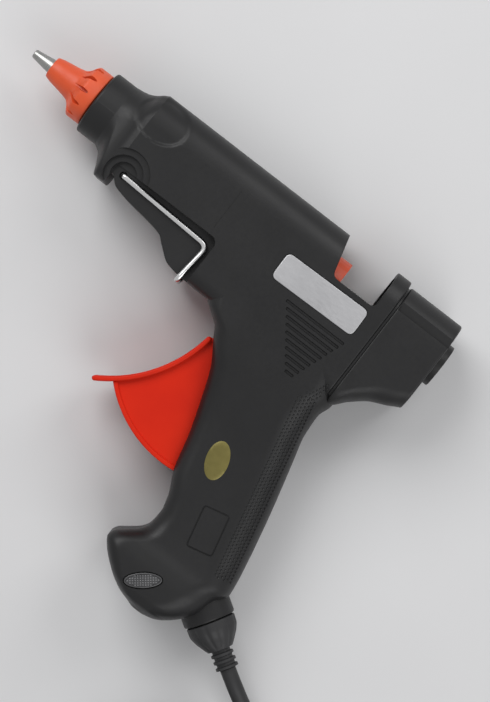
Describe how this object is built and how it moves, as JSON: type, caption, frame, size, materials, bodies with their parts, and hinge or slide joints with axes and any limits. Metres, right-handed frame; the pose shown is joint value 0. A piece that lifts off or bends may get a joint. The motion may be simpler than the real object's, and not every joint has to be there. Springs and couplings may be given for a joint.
{
  "type": "hot glue applicator",
  "caption": "Corded hand applicator for glue sticks: a trigger feeds the stick through a heated chamber to a booted nozzle, and a folding wire stand props the front.",
  "frame": {"origin": "bottom centre of the tool's box as it lies on its right side, without the cord", "axes": "+X along the glue stick's axis towards the stick inlet, +Y up the tool from grip to barrel, +Z out of its left side"},
  "size_m": [0.2625, 0.2732, 0.036],
  "materials": {
    "housing_black": "satin",
    "trigger_orange": "satin",
    "silicone_orange": "matte",
    "silicone_pale": "matte",
    "nozzle_metal": "satin",
    "cast_aluminium": "cast",
    "bright_wire": "polished",
    "zinc_steel": "zinc plated",
    "dark_ceramic": "matte",
    "amber_film": "gloss",
    "phenolic": "matte",
    "lens_smoke": "satin",
    "lamp_glass": "gloss",
    "cord_black": "matte",
    "lead_red": "matte"
  },
  "bodies": {
    "housing": {"housing_left": "housing_black", "housing_right": "housing_black", "nozzle": "nozzle_metal", "nozzle_boot": "silicone_orange", "stick_inlet_collar": "housing_black", "indicator_lens": "lens_smoke", "cord_boot": "cord_black", "cord_lead": "cord_black", "cord_coil": "cord_black", "cord_tail": "cord_black", "cord_tie": "cord_black", "plug_body": "cord_black", "plug_pin_1": "nozzle_metal", "plug_pin_2": "nozzle_metal", "melt_chamber": "cast_aluminium", "chamber_front_ring": "phenolic", "ptc_heater": "dark_ceramic", "electrode_upper": "zinc_steel", "electrode_lower": "zinc_steel", "insulating_sleeve": "amber_film", "heater_wedge": "zinc_steel", "inlet_sleeve": "silicone_pale", "sleeve_clip": "bright_wire", "trigger_pin": "bright_wire", "return_spring": "bright_wire", "heater_lead_1": "lead_red", "heater_lead_2": "lead_red", "supply_lead_1": "lead_red", "supply_lead_2": "lead_red", "lead_joint_1": "lamp_glass", "lead_joint_2": "lamp_glass", "indicator_lamp": "lamp_glass", "cord_clamp": "housing_black", "cord_clamp_screw_1": "zinc_steel", "cord_clamp_screw_2": "zinc_steel", "housing_screw_1": "zinc_steel", "housing_screw_2": "zinc_steel", "housing_screw_3": "zinc_steel", "housing_screw_4": "zinc_steel", "housing_screw_5": "zinc_steel", "housing_screw_6": "zinc_steel"},
    "trigger": {"trigger": "trigger_orange"},
    "carriage": {"feed_carriage": "trigger_orange", "clamp_pivot_pin": "bright_wire"},
    "clamp": {"clamp_lever": "zinc_steel", "clamp_drive_pin": "bright_wire"},
    "stand": {"wire_stand": "bright_wire"}
  },
  "joints": [
    {"name": "trigger_pull", "type": "hinge", "parent": "housing", "child": "trigger", "pos_m": [0.03445, 0.01615, 0.018], "axis": [0, 0, 1], "range_deg": [0, 30], "stiffness_Nm_per_rad": 0.4, "springref_deg": -17.19},
    {"name": "carriage_slide", "type": "slide", "parent": "housing", "child": "carriage", "axis": [-1, 0, 0], "range_m": [0, 0.0114], "deforming": ["return_spring"]},
    {"name": "clamp_swing", "type": "hinge", "parent": "carriage", "child": "clamp", "pos_m": [0.03865, 0.04705, 0.018], "axis": [0, 0, -1], "range_deg": [0, 12.2]},
    {"name": "stand_swing", "type": "hinge", "parent": "housing", "child": "stand", "pos_m": [-0.04015, 0.04445, 0.018], "axis": [0, 0, 1], "range_deg": [-100, 0]}
  ],
  "couplings": [
    {"joint": "carriage_slide", "follows": "trigger_pull", "m_per_rad": 0.0216},
    {"joint": "clamp_swing", "follows": "trigger_pull", "ratio": 0.4}
  ]
}
